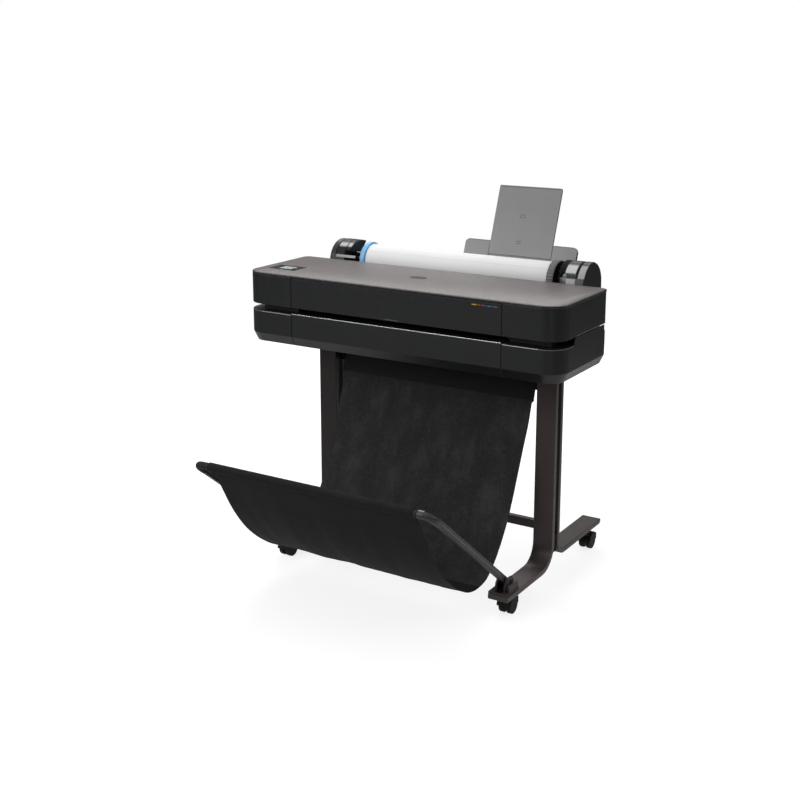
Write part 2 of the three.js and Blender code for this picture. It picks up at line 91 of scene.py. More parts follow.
# ------------------------------------------------------------------ stage and light
def stage_plane():
    """A round pale floor; it glows a little further out, so that it runs into the white backdrop."""
    bm = bmesh.new()
    bmesh.ops.create_circle(bm, cap_ends=True, segments=128, radius=3.0)
    me = bpy.data.meshes.new("floor")
    bm.to_mesh(me); bm.free()
    o = bpy.data.objects.new("floor", me)
    bpy.context.scene.collection.objects.link(o)
    o.location = (0, 0, -0.0005)
    m = bpy.data.materials.new("floor_pale")
    m.use_nodes = True
    nt = m.node_tree
    b = nt.nodes["Principled BSDF"]
    b.inputs["Base Color"].default_value = (0.32, 0.32, 0.32, 1)
    b.inputs["Roughness"].default_value = 0.9
    b.inputs["Specular IOR Level"].default_value = 0.1
    b.inputs["Emission Color"].default_value = (1, 1, 1, 1)
    tc = nt.nodes.new("ShaderNodeTexCoord")
    ln = nt.nodes.new("ShaderNodeVectorMath"); ln.operation = "LENGTH"
    nt.links.new(tc.outputs["Object"], ln.inputs[0])
    mr = nt.nodes.new("ShaderNodeMapRange"); mr.interpolation_type = "SMOOTHSTEP"
    mr.inputs["From Min"].default_value = 0.5; mr.inputs["From Max"].default_value = 1.7
    mr.inputs["To Min"].default_value = 0.80; mr.inputs["To Max"].default_value = 1.0
    nt.links.new(ln.outputs["Value"], mr.inputs["Value"])
    pth = nt.nodes.new("ShaderNodeLightPath")
    mul = nt.nodes.new("ShaderNodeMath"); mul.operation = "MULTIPLY"
    nt.links.new(mr.outputs["Result"], mul.inputs[0]); nt.links.new(pth.outputs["Is Camera Ray"], mul.inputs[1])
    near = nt.nodes.new("ShaderNodeMapRange"); near.interpolation_type = "SMOOTHSTEP"
    near.inputs["From Min"].default_value = 1.45; near.inputs["From Max"].default_value = 2.3
    near.inputs["To Min"].default_value = 0.36; near.inputs["To Max"].default_value = 0.0
    nt.links.new(ln.outputs["Value"], near.inputs["Value"])
    gl = nt.nodes.new("ShaderNodeMath"); gl.operation = "MULTIPLY_ADD"
    nt.links.new(near.outputs["Result"], gl.inputs[0]); nt.links.new(pth.outputs["Is Glossy Ray"], gl.inputs[1])
    nt.links.new(mul.outputs[0], gl.inputs[2])
    nt.links.new(gl.outputs[0], b.inputs["Emission Strength"])
    me.materials.append(m)


stage_plane()
scene = bpy.context.scene
scene.view_settings.view_transform = "Standard"
scene.view_settings.look = "None"
world = bpy.data.worlds.new("studio")
scene.world = world
world.use_nodes = True
wn = world.node_tree
bg = wn.nodes["Background"]
bg.inputs["Color"].default_value = (1, 1, 1, 1)
bg.inputs["Strength"].default_value = 1.0
bg2 = wn.nodes.new("ShaderNodeBackground")
tcw = wn.nodes.new("ShaderNodeTexCoord")
sep = wn.nodes.new("ShaderNodeSeparateXYZ")
wn.links.new(tcw.outputs["Generated"], sep.inputs[0])
zr = wn.nodes.new("ShaderNodeMapRange"); zr.interpolation_type = "SMOOTHSTEP"
zr.inputs["From Min"].default_value = -0.05; zr.inputs["From Max"].default_value = 0.9
zr.inputs["To Min"].default_value = 0.10; zr.inputs["To Max"].default_value = 0.80
wn.links.new(sep.outputs["Z"], zr.inputs["Value"])
wn.links.new(zr.outputs["Result"], bg2.inputs["Strength"])
lp = wn.nodes.new("ShaderNodeLightPath")
mx = wn.nodes.new("ShaderNodeMixShader")
wn.links.new(lp.outputs["Is Camera Ray"], mx.inputs[0])
wn.links.new(bg2.outputs[0], mx.inputs[1])
wn.links.new(bg.outputs[0], mx.inputs[2])
wn.links.new(mx.outputs[0], wn.nodes["World Output"].inputs["Surface"])


def area(name, loc, target, size, power, size_y=None, color=(1, 1, 1)):
    d = bpy.data.lights.new(name, "AREA")
    d.energy = power
    d.color = color
    d.size = size
    if size_y:
        d.shape = "RECTANGLE"
        d.size_y = size_y
    o = bpy.data.objects.new(name, d)
    bpy.context.scene.collection.objects.link(o)
    o.location = loc
    o.rotation_euler = (Vector(target) - Vector(loc)).to_track_quat("-Z", "Y").to_euler()
    o.visible_camera = False
    return o


area("front_soft", (-1.7, -3.2, 2.15), (0, 0, 0.75), 2.2, 56, 1.6)
area("right_soft", (3.0, 1.2, 1.9), (0, 0, 0.7), 1.4, 14, 1.4)
area("back_top", (-1.5, 2.4, 3.1), (0, 0.1, 0.8), 2.4, 38, 1.4)
area("top", (-0.9, -0.2, 3.6), (0, 0, 0.8), 2.4, 19, 1.4)
area("corner_strip", (2.25, -2.56, 0.35), (0.5, -0.2, 0.75), 0.28, 1.0, 1.3)

# ------------------------------------------------------------------ materials
def new_mat(name):
    m = bpy.data.materials.new(name)
    m.use_nodes = True
    nt = m.node_tree
    return m, nt, nt.nodes["Principled BSDF"]


def coords(nt, scale=(1, 1, 1), rot=(0, 0, 0)):
    tc = nt.nodes.new("ShaderNodeTexCoord")
    mp = nt.nodes.new("ShaderNodeMapping")
    mp.inputs["Scale"].default_value = scale
    mp.inputs["Rotation"].default_value = rot
    nt.links.new(tc.outputs["Object"], mp.inputs["Vector"])
    return mp.outputs["Vector"]


def noise_tex(nt, vec, scale, detail=3, rough=0.55):
    n = nt.nodes.new("ShaderNodeTexNoise")
    n.inputs["Scale"].default_value = scale
    n.inputs["Detail"].default_value = detail
    n.inputs["Roughness"].default_value = rough
    nt.links.new(vec, n.inputs["Vector"])
    return n.outputs["Fac"]


def ramp(nt, fac, stops):
    r = nt.nodes.new("ShaderNodeValToRGB")
    e = r.color_ramp.elements
    while len(e) < len(stops):
        e.new(0.5)
    for el, (p, c) in zip(e, stops):
        el.position = p
        el.color = (*c, 1) if len(c) == 3 else c
    nt.links.new(fac, r.inputs["Fac"])
    return r.outputs["Color"]


def rng(nt, fac, lo, hi, a=0.0, b=1.0):
    n = nt.nodes.new("ShaderNodeMapRange")
    n.inputs["From Min"].default_value = a
    n.inputs["From Max"].default_value = b
    n.inputs["To Min"].default_value = lo
    n.inputs["To Max"].default_value = hi
    nt.links.new(fac, n.inputs["Value"])
    return n.outputs["Result"]


def bump(nt, height, strength, distance, normal=None):
    b = nt.nodes.new("ShaderNodeBump")
    b.inputs["Strength"].default_value = strength
    b.inputs["Distance"].default_value = distance
    nt.links.new(height, b.inputs["Height"])
    if normal is not None:
        nt.links.new(normal, b.inputs["Normal"])
    return b.outputs["Normal"]


def edge_wear_and_highlight_mask(nt, radius=0.0):
    """Bright where the surface is convex: edge wear, and partly a painted highlight along edges."""
    g = nt.nodes.new("ShaderNodeNewGeometry")
    return rng(nt, g.outputs["Pointiness"], 0.0, 1.0, 0.52, 0.60)


def mix_color(nt, fac, a, b, blend="MIX"):
    n = nt.nodes.new("ShaderNodeMix")
    n.data_type = "RGBA"
    n.blend_type = blend
    if hasattr(fac, "links"):
        nt.links.new(fac, n.inputs["Factor"])
    else:
        n.inputs["Factor"].default_value = fac
    for s, v in (("A", a), ("B", b)):
        sock = [i for i in n.inputs if i.name == s and i.type == "RGBA"][0]
        if hasattr(v, "links"):
            nt.links.new(v, sock)
        else:
            sock.default_value = (*v, 1)
    return [o for o in n.outputs if o.type == "RGBA"][0]


def moulded(name, color, rough=0.42, grain=2600.0, grain_d=0.00006, var=0.12, spec=0.5, coat=0.0, wear_and_highlight=0.35, metallic=0.0):
    """Moulded plastic or painted sheet: fine spark texture, faint cloudiness, and convex edges lighter from wear and
    from a painted highlight.
    """
    m, nt, b = new_mat(name)
    v = coords(nt)
    cloud = noise_tex(nt, v, 9.0, 3)
    fine = noise_tex(nt, v, grain, 2, 0.6)
    mid = noise_tex(nt, v, 160.0, 3, 0.6)
    lo = tuple(c * (1 - var) for c in color)
    hi = tuple(min(1, c * (1 + var)) for c in color)
    col = ramp(nt, cloud, [(0.3, lo), (0.7, hi)])
    worn_or_lit_edge = tuple(min(1, c * 1.5 + 0.012) for c in color)
    w = nt.nodes.new("ShaderNodeMath"); w.operation = "MULTIPLY"
    w.inputs[1].default_value = wear_and_highlight
    nt.links.new(edge_wear_and_highlight_mask(nt), w.inputs[0])
    # painted highlight together with edge wear: convex edges are mixed towards a lighter colour
    col = mix_color(nt, w.outputs[0], col, worn_or_lit_edge)
    nt.links.new(col, b.inputs["Base Color"])
    nt.links.new(rng(nt, mid, rough - 0.06, rough + 0.07, 0.3, 0.7), b.inputs["Roughness"])
    nt.links.new(bump(nt, fine, 0.35, grain_d), b.inputs["Normal"])
    b.inputs["Specular IOR Level"].default_value = spec
    b.inputs["Metallic"].default_value = metallic
    if coat:
        b.inputs["Coat Weight"].default_value = coat
        b.inputs["Coat Roughness"].default_value = 0.12
    return m


def metal(name, color, rough=0.3, brush=(1, 1, 60), var=0.08):
    m, nt, b = new_mat(name)
    v = coords(nt, scale=brush)
    n1 = noise_tex(nt, v, 40.0, 4, 0.6)
    v2 = coords(nt)
    n2 = noise_tex(nt, v2, 12.0, 2)
    lo = tuple(c * (1 - var) for c in color); hi = tuple(min(1, c * (1 + var)) for c in color)
    nt.links.new(ramp(nt, n2, [(0.3, lo), (0.7, hi)]), b.inputs["Base Color"])
    nt.links.new(rng(nt, n1, rough - 0.08, rough + 0.1, 0.3, 0.7), b.inputs["Roughness"])
    nt.links.new(bump(nt, n1, 0.2, 0.0001), b.inputs["Normal"])
    b.inputs["Metallic"].default_value = 1.0
    return m


def srgb(h):
    out = []
    for i in (0, 2, 4):
        c = int(h[i:i + 2], 16) / 255
        out.append(c / 12.92 if c <= 0.04045 else ((c + 0.055) / 1.055) ** 2.4)
    return tuple(out)


MAT = {}
MAT["cover"] = moulded("cover_brown", (0.136, 0.115, 0.111), rough=0.42, grain=3200, grain_d=0.000012, var=0.03, wear_and_highlight=0.12)
MAT["shell"] = moulded("shell_black", (0.0100, 0.0107, 0.0118), rough=0.34, grain_d=0.00003, var=0.10, wear_and_highlight=0.5)
MAT["inner_black"] = moulded("inner_black", (0.0045, 0.0045, 0.0048), rough=0.5, var=0.12, wear_and_highlight=0.3, spec=0.3)
MAT["slot_black"] = moulded("slot_black", (0.0022, 0.0020, 0.0020), rough=0.7, var=0.12, wear_and_highlight=0.1, spec=0.15)
# the lip's convex edges get the full lighter mix: partly wear, partly a painted highlight line
MAT["lip"] = moulded("lip_black", (0.010, 0.010, 0.011), rough=0.24, grain_d=0.00002, var=0.1, wear_and_highlight=1.0)
MAT["holder"] = moulded("holder_black", (0.0085, 0.0085, 0.0088), rough=0.42, var=0.12, wear_and_highlight=0.5)
MAT["grey_plastic"] = moulded("grey_plastic", (0.14, 0.14, 0.14), rough=0.5, wear_and_highlight=0.3)
MAT["tray_grey"] = moulded("tray_grey", (0.265, 0.265, 0.265), rough=0.5, grain_d=0.00003, var=0.04, wear_and_highlight=0.12)
MAT["tray_edge"] = moulded("tray_edge", (0.055, 0.055, 0.055), rough=0.5, var=0.06)
MAT["tray_side"] = moulded("tray_side", (0.012, 0.012, 0.012), rough=0.5, var=0.06)
MAT["rubber"] = moulded("rubber_black", (0.0032, 0.0036, 0.0042), rough=0.6, grain=1400, grain_d=0.00008, wear_and_highlight=0.25, spec=0.25)
MAT["blue_hub"] = moulded("blue_hub", (0.225, 0.53, 0.90), rough=0.4, var=0.05, wear_and_highlight=0.2)
MAT["stand_brown"] = moulded("stand_brown", (0.040, 0.0285, 0.0275), rough=0.42, grain=2200, grain_d=0.00004, var=0.07, wear_and_highlight=0.9)
# painted shade and light: the left legs take a darker copy of the stand brown, the right front bar a lighter copy
MAT["stand_shaded_left"] = moulded("stand_brown_shaded_left", (0.0150, 0.0100, 0.0098), rough=0.5, grain=2200, grain_d=0.00004, var=0.07, wear_and_highlight=0.7, spec=0.35)
MAT["stand_lit_right"] = moulded("stand_brown_lit_right", (0.060, 0.0430, 0.0415), rough=0.42, grain=2200, grain_d=0.00004, var=0.07, wear_and_highlight=0.9)
MAT["bracket"] = moulded("bracket_brown", (0.036, 0.0265, 0.0260), rough=0.55, grain=900, grain_d=0.00008, wear_and_highlight=0.9)
MAT["arm"] = moulded("arm_grey", (0.036, 0.036, 0.036), rough=0.5, wear_and_highlight=0.6)
# the rib is the arm's own moulding; its lighter grey is a painted highlight
MAT["arm_rib_highlight"] = moulded("arm_rib_highlight", (0.085, 0.085, 0.085), rough=0.42, wear_and_highlight=0.6)
MAT["elbow"] = moulded("elbow_grey", (0.024, 0.024, 0.024), rough=0.4, grain=700, grain_d=0.0003, wear_and_highlight=0.9)
MAT["bar"] = moulded("bar_cover", (0.014, 0.014, 0.0145), rough=0.7, grain=900, grain_d=0.00012, wear_and_highlight=0.2, spec=0.3)
MAT["steel"] = metal("zinc_sheet", (0.42, 0.42, 0.43), 0.38)
MAT["bright_trim"] = metal("bright_trim", (0.86, 0.87, 0.88), 0.2, brush=(4, 60, 60))
MAT["rail"] = metal("ground_rail", (0.78, 0.78, 0.8), 0.16, brush=(2, 80, 80))
MAT["spindle"] = moulded("spindle_gloss", (0.006, 0.0065, 0.0068), rough=0.14, grain_d=0.00001, coat=0.8, wear_and_highlight=0.3)
MAT["board"] = moulded("core_board", srgb("b39a70"), rough=0.9, grain=600, grain_d=0.0002, wear_and_highlight=0.1)
MAT["screen_glass"] = moulded("bezel_gloss", (0.0045, 0.005, 0.0055), rough=0.2, grain_d=0.000005, wear_and_highlight=0.1, spec=0.3)
for k, h in (("ink_yellow", "c9a32a"), ("ink_magenta", "9c2458"), ("ink_cyan", "26739f"), ("ink_black", "2c2c2c"), ("mark_grey", "5c6268"), ("mark_orange", "b85c28")):
    MAT[k] = moulded(k, srgb(h), rough=0.5, wear_and_highlight=0.1)


def band_mat(name, top, mid, low, rise=0.22):
    """Satin band round a holder with painted light: its colour is bright on the front shoulder and dark over the top
    and below, graded by height.
    """
    m, nt, b = new_mat(name)
    tc = nt.nodes.new("ShaderNodeTexCoord")
    sp = nt.nodes.new("ShaderNodeSeparateXYZ")
    nt.links.new(tc.outputs["Object"], sp.inputs[0])
    f = rng(nt, sp.outputs["Z"], 0.0, 1.0, 0.855, 0.914)
    # painted light and shade: the ramp by height stands in for the lit shoulder and the shaded top and underside
    base = ramp(nt, f, [(0.0, low), (rise, low), (rise + 0.08, mid), (0.82, mid), (0.90, top)])
    br = noise_tex(nt, coords(nt, scale=(60, 2, 2)), 30.0, 4, 0.6)
    col = mix_color(nt, rng(nt, br, 0.0, 0.07, 0.35, 0.65), base, (0.22, 0.22, 0.22))
    nt.links.new(col, b.inputs["Base Color"])
    nt.links.new(rng(nt, br, 0.32, 0.5, 0.3, 0.7), b.inputs["Roughness"])
    nt.links.new(bump(nt, br, 0.2, 0.0001), b.inputs["Normal"])
    b.inputs["Specular IOR Level"].default_value = 0.2
    return m


MAT["band_in"] = band_mat("holder_band_inner", (0.014, 0.014, 0.014), (0.62, 0.62, 0.62), (0.40, 0.40, 0.40))
MAT["band_out"] = band_mat("holder_band_outer", (0.014, 0.014, 0.014), (0.42, 0.42, 0.42), (0.16, 0.16, 0.16))
MAT["band_left"] = band_mat("holder_band_left", (0.014, 0.014, 0.014), (0.60, 0.60, 0.60), (0.007, 0.007, 0.007), 0.66)
# light grey for painted highlights and painted reflections
MAT["painted_highlight_grey"] = moulded("holder_strip", (0.34, 0.34, 0.34), rough=0.4, wear_and_highlight=0.3)
# greys for painted highlight lines along edges
MAT["edge_light"] = moulded("edge_light", (0.16, 0.16, 0.163), rough=0.32, wear_and_highlight=0.3)
MAT["edge_bright"] = metal("edge_bright", (0.86, 0.86, 0.87), rough=0.34, brush=(60, 1, 1), var=0.04)
MAT["edge_soft"] = moulded("edge_soft", (0.030, 0.030, 0.031), rough=0.34, wear_and_highlight=0.3)
MAT["block_grey"] = moulded("holder_block", (0.055, 0.055, 0.055), rough=0.5, wear_and_highlight=0.5)


def paper_mat():
    m, nt, b = new_mat("roll_paper")
    v = coords(nt)
    fib = noise_tex(nt, v, 900.0, 4, 0.7)
    wide = noise_tex(nt, coords(nt, scale=(0.3, 1, 1)), 14.0, 2)
    nt.links.new(ramp(nt, wide, [(0.3, (0.92, 0.92, 0.93)), (0.7, (0.955, 0.955, 0.96))]), b.inputs["Base Color"])
    nt.links.new(rng(nt, fib, 0.72, 0.9, 0.3, 0.7), b.inputs["Roughness"])
    nt.links.new(bump(nt, fib, 0.15, 0.00005), b.inputs["Normal"])
    b.inputs["Specular IOR Level"].default_value = 0.3
    return m


def paper_end_mat():
    """The end of the roll: many wound turns."""
    m, nt, b = new_mat("roll_paper_end")
    tc = nt.nodes.new("ShaderNodeTexCoord")
    mp = nt.nodes.new("ShaderNodeMapping")
    mp.inputs["Location"].default_value = (0, -(0.1823 + S), -0.8556)
    nt.links.new(tc.outputs["Object"], mp.inputs["Vector"])
    w = nt.nodes.new("ShaderNodeTexWave")
    w.wave_type = "RINGS"; w.rings_direction = "X"
    w.inputs["Scale"].default_value = 260.0
    w.inputs["Distortion"].default_value = 0.4
    nt.links.new(mp.outputs["Vector"], w.inputs["Vector"])
    nt.links.new(ramp(nt, w.outputs["Fac"], [(0.0, (0.5, 0.5, 0.52)), (1.0, (0.72, 0.72, 0.75))]), b.inputs["Base Color"])
    nt.links.new(bump(nt, w.outputs["Fac"], 0.3, 0.0002), b.inputs["Normal"])
    b.inputs["Roughness"].default_value = 0.85
    return m


def fabric_mat(name="bin_fabric", base=(0.0125, 0.0125, 0.0125), cloud=1.0, rough=0.85):
    """Plain weave polyester: warp and weft from UVs in metres, cloudy scuffing along the warp."""
    m, nt, b = new_mat(name)
    uv = nt.nodes.new("ShaderNodeUVMap"); uv.uv_map = "cloth"
    def thread(rot):
        mp = nt.nodes.new("ShaderNodeMapping")
        mp.inputs["Rotation"].default_value = (0, 0, rot)
        nt.links.new(uv.outputs["UV"], mp.inputs["Vector"])
        w = nt.nodes.new("ShaderNodeTexWave")
        w.wave_type = "BANDS"; w.bands_direction = "X"
        w.inputs["Scale"].default_value = 260.0
        w.inputs["Distortion"].default_value = 0.6
        w.inputs["Detail"].default_value = 1.0
        nt.links.new(mp.outputs["Vector"], w.inputs["Vector"])
        return w.outputs["Fac"]
    wa, we = thread(0), thread(math.pi / 2)
    mxn = nt.nodes.new("ShaderNodeMath"); mxn.operation = "MAXIMUM"
    nt.links.new(wa, mxn.inputs[0]); nt.links.new(we, mxn.inputs[1])
    streak = nt.nodes.new("ShaderNodeMapping")
    streak.inputs["Scale"].default_value = (15, 8, 1)
    nt.links.new(uv.outputs["UV"], streak.inputs["Vector"])
    cl = noise_tex(nt, streak.outputs["Vector"], 1.0, 6, 0.66)
    fine = nt.nodes.new("ShaderNodeMapping")
    fine.inputs["Scale"].default_value = (150, 90, 1)
    nt.links.new(uv.outputs["UV"], fine.inputs["Vector"])
    cl2 = noise_tex(nt, fine.outputs["Vector"], 1.0, 5, 0.7)
    lo = tuple(c * (1 - 0.38 * cloud) for c in base); hi = tuple(c * (1 + 0.95 * cloud) for c in base)
    c1 = ramp(nt, cl, [(0.38, lo), (0.5, base), (0.64, hi)])
    c2 = mix_color(nt, 0.42, c1, ramp(nt, cl2, [(0.36, lo), (0.5, base), (0.66, hi)]))
    c3 = mix_color(nt, rng(nt, mxn.outputs[0], 0.0, 0.2), c2, tuple(c * 1.9 for c in base))
    nt.links.new(c3, b.inputs["Base Color"])
    nt.links.new(rng(nt, mxn.outputs[0], min(1.0, rough + 0.08), rough - 0.12), b.inputs["Roughness"])
    n1 = bump(nt, mxn.outputs[0], 0.4, 0.0003)
    nt.links.new(bump(nt, cl2, 0.25, 0.0012, n1), b.inputs["Normal"])
    b.inputs["Specular IOR Level"].default_value = 0.18
    b.inputs["Sheen Weight"].default_value = 0.04
    b.inputs["Sheen Roughness"].default_value = 0.4
    b.inputs["Sheen Tint"].default_value = (0.8, 0.8, 0.8, 1)
    return m


def screen_mat():
    """A lit touch screen with plain generic tiles, no lettering."""
    m, nt, b = new_mat("touch_screen")
    lo, hi = P(-446, -115, 0), P(-404, -79, 0)
    tc = nt.nodes.new("ShaderNodeTexCoord")
    mp = nt.nodes.new("ShaderNodeMapping")
    mp.vector_type = "TEXTURE"
    mp.inputs["Location"].default_value = (lo.x, lo.y, 0)
    mp.inputs["Scale"].default_value = (hi.x - lo.x, hi.y - lo.y, 1)
    nt.links.new(tc.outputs["Object"], mp.inputs["Vector"])
    br = nt.nodes.new("ShaderNodeTexBrick")
    br.offset = 0.0
    br.inputs["Scale"].default_value = 1.0
    br.inputs["Brick Width"].default_value = 0.34
    br.inputs["Row Height"].default_value = 0.5
    br.inputs["Mortar Size"].default_value = 0.035
    br.inputs["Mortar Smooth"].default_value = 0.1
    br.inputs["Color1"].default_value = (*srgb("d6e6df"), 1)
    br.inputs["Color2"].default_value = (*srgb("93b9a4"), 1)
    br.inputs["Mortar"].default_value = (*srgb("5d6f6c"), 1)
    nt.links.new(mp.outputs["Vector"], br.inputs["Vector"])
    nt.links.new(br.outputs["Color"], b.inputs["Base Color"])
    nt.links.new(br.outputs["Color"], b.inputs["Emission Color"])
    b.inputs["Emission Strength"].default_value = 0.25
    b.inputs["Roughness"].default_value = 0.18
    b.inputs["Coat Weight"].default_value = 0.5
    return m


MAT["paper"] = paper_mat()
MAT["paper_end"] = paper_end_mat()
MAT["fabric"] = fabric_mat(base=(0.0245, 0.0245, 0.0245), cloud=1.15)
# painted shade: the front run of the sling takes a darker, less cloudy copy of the same bin fabric
MAT["fabric_front"] = fabric_mat("bin_fabric_front_shaded", (0.0098, 0.0098, 0.0098), 0.5)
MAT["band"] = fabric_mat("bin_band", (0.0088, 0.0088, 0.0090), 0.15, 0.75)
MAT["stitch"] = moulded("stitch_line", (0.004, 0.004, 0.004), rough=0.9, grain=1500, grain_d=0.0001, spec=0.1)
MAT["screen"] = screen_mat()
MAT["belt"] = MAT["rubber"]

# ------------------------------------------------------------------ mesh helpers
def obj_of(name, me, mat=None, smooth=35.0):
    o = bpy.data.objects.new(name, me)
    bpy.context.scene.collection.objects.link(o)
    if mat is not None:
        me.materials.append(MAT[mat] if isinstance(mat, str) else mat)
    if smooth is not None:
        for p in me.polygons:
            p.use_smooth = True
        me.set_sharp_from_angle(angle=math.radians(smooth))
    return o


def from_bm(name, bm, mat=None, smooth=35.0):
    me = bpy.data.meshes.new(name)
    bmesh.ops.recalc_face_normals(bm, faces=bm.faces)
    bm.to_mesh(me); bm.free()
    return obj_of(name, me, mat, smooth)


def apply_mods(o):
    dg = bpy.context.evaluated_depsgraph_get()
    me = bpy.data.meshes.new_from_object(o.evaluated_get(dg))
    old = o.data
    o.modifiers.clear()
    o.data = me
    bpy.data.meshes.remove(old)
    return o


def bevel(o, width, segments=3, angle=30.0):
    """Rounded edges with face-weighted normals, so that flats stay flat."""
    for p in o.data.polygons:
        p.use_smooth = True
    m = o.modifiers.new("bevel", "BEVEL")
    m.width = width; m.segments = segments
    m.limit_method = "ANGLE"; m.angle_limit = math.radians(angle)
    m.use_clamp_overlap = True
    w = o.modifiers.new("weighted", "WEIGHTED_NORMAL")
    w.mode = "FACE_AREA"; w.weight = 60; w.keep_sharp = False
    return apply_mods(o)


def refine(node, mat, width=0.0008, segments=2, angle=28.0, body=None, smooth=32.0, merge=True):
    """A finished copy of a CAD solid: flat faces merged, edges rounded, smooth shading."""
    src = NODES[node]
    bm = bmesh.new(); bm.from_mesh(src.data)
    bmesh.ops.remove_doubles(bm, verts=bm.verts, dist=1e-6)
    if merge:
        bmesh.ops.dissolve_limit(bm, angle_limit=math.radians(0.8), verts=bm.verts, edges=bm.edges)
    o = from_bm(node + "_skin", bm, mat, None if width else smooth)
    if width:
        bevel(o, width, segments, angle)
    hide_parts(node)
    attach(o, body or src["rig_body"])
    return o


def prism_yz(name, pts, x0, x1, mat, bev=0.0, seg=2, smooth=32.0):
    """A closed profile in the YZ plane (machine mm), extruded along X."""
    bm = bmesh.new()
    a = [bm.verts.new(P(x0, y, z)) for y, z in pts]
    b = [bm.verts.new(P(x1, y, z)) for y, z in pts]
    bm.faces.new(a); bm.faces.new(list(reversed(b)))
    n = len(pts)
    for i in range(n):
        bm.faces.new((a[i], b[i], b[(i + 1) % n], a[(i + 1) % n]))
    o = from_bm(name, bm, mat, smooth)
    if bev:
        bevel(o, bev / 1000.0, seg)
    return o


def prism_xy(name, pts, z0, z1, mat, bev=0.0, seg=2, smooth=32.0):
    bm = bmesh.new()
    a = [bm.verts.new(P(x, y, z0)) for x, y in pts]
    b = [bm.verts.new(P(x, y, z1)) for x, y in pts]
    bm.faces.new(list(reversed(a))); bm.faces.new(b)
    n = len(pts)
    for i in range(n):
        bm.faces.new((a[i], a[(i + 1) % n], b[(i + 1) % n], b[i]))
    o = from_bm(name, bm, mat, smooth)
    if bev:
        bevel(o, bev / 1000.0, seg)
    return o


def block(name, x0, x1, y0, y1, z0, z1, mat, bev=0.5, seg=2):
    return prism_xy(name, [(x0, y0), (x1, y0), (x1, y1), (x0, y1)], z0, z1, mat, bev, seg)


def rrect(x0, x1, y0, y1, rf, rr, n=16):
    pts = []
    def arc(cx, cy, r, a0, a1):
        for i in range(n + 1):
            a = a0 + (a1 - a0) * i / n
            pts.append((cx + r * math.cos(a), cy + r * math.sin(a)))
    arc(x0 + rf, y0 + rf, rf, math.pi, 1.5 * math.pi)
    arc(x1 - rf, y0 + rf, rf, 1.5 * math.pi, 2 * math.pi)
    arc(x1 - rr, y1 - rr, rr, 0, 0.5 * math.pi)
    arc(x0 + rr, y1 - rr, rr, 0.5 * math.pi, math.pi)
    return pts


def lathe_x(name, profile, yc, zc, mat, n=96, smooth=32.0, closed=True):
    """profile is [(x, r), ...] turned about the X axis through (yc, zc); a closed loop unless told otherwise."""
    bm = bmesh.new()
    rings = []
    for x, r in profile:
        if r < 1e-4:
            rings.append([bm.verts.new(P(x, yc, zc))])
        else:
            rings.append([bm.verts.new(P(x, yc + r * math.cos(2 * math.pi * i / n), zc + r * math.sin(2 * math.pi * i / n))) for i in range(n)])
    m = len(rings)
    for k in range(m if closed else m - 1):
        A, B = rings[k], rings[(k + 1) % m]
        if len(A) == 1 and len(B) == 1:
            continue
        for i in range(n):
            j = (i + 1) % n
            if len(A) == 1:
                bm.faces.new((A[0], B[j], B[i]))
            elif len(B) == 1:
                bm.faces.new((A[i], A[j], B[0]))
            else:
                bm.faces.new((A[i], A[j], B[j], B[i]))
    return from_bm(name, bm, mat, smooth)


def put(o, body, *nodes, slotname=None):
    if nodes:
        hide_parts(*nodes)
    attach(o, body)
    return o

# ------------------------------------------------------------------ body shells
for n in ("lower_left_cap", "lower_right_cap", "upper_left_cap", "upper_right_cap"):
    refine(n, "shell", 0.0010, 3, angle=15)
for n in ("lower_front_panel", "front_window"):
    refine(n, "shell", 0.0007, 3, angle=15)


def edge_run(name, s_, z0, z1, y_end, mat, body=ROOT, off=0.12, x_from=339.2):
    """A thin painted highlight line that follows the front and the rounded corner of the body."""
    outer, inner = [], []
    for k in range(0, 5):
        x = x_from + (448.5 - x_from) * k / 4
        outer.append((x, -200 - off)); inner.append((x, -199.6))
    for k in range(1, 15):
        a = math.radians(90 * k / 14)
        outer.append((448.5 + (58 + off) * math.sin(a), -142 - (58 + off) * math.cos(a)))
        inner.append((448.5 + 57.6 * math.sin(a), -142 - 57.6 * math.cos(a)))
    if y_end > -142:
        outer.append((506.5 + off, y_end)); inner.append((506.1, y_end))
    pts = [(s_ * x, y) for x, y in outer + inner[::-1]]
    return put(prism_xy(name, pts, z0, z1, mat), body, slotname="shell")


# painted highlights along the lower caps' top edge and along the upper side's lower lip
for side, s_ in (("left", -1), ("right", 1)):
    edge_run(side + "_lower_edge_line", s_, 744.5, 746.1, -118, "edge_light", x_from=444.3)
    put(block(side + "_lower_edge_front", *sorted((s_ * 340.0, s_ * 444.0)), -200.14, -199.6, 744.4, 746.3, "edge_bright", 0.05, 1), ROOT, slotname="shell")
    put(block(side + "_upper_seam", *sorted((s_ * 338.2, s_ * 339.7)), -200.12, -199.6, 768.6, 853.0, "slot_black", 0.04, 1), ROOT, slotname="inner_black")
    put(block(side + "_lower_seam", *sorted((s_ * 338.2, s_ * 339.7)), -200.12, -199.6, 681.5, 744.4, "slot_black", 0.04, 1), ROOT, slotname="inner_black")
    put(block(side + "_upper_side_lip_highlight", *sorted((s_ * 506.1, s_ * 506.62)), -105, 80, 767.6, 769.6, "edge_light", 0.1, 1), ROOT, slotname="shell")
refine("rear_panel", "shell", 0.0006, 2)
refine("exit_trim_strip", "bright_trim", 0.0005, 2)
refine("exit_platen", "inner_black", 0.0008, 2)
refine("floor_plate", "steel", 0.0006, 2)
for n in ("left_side_frame", "right_side_frame"):
    refine(n, "inner_black", 0.0004, 1)

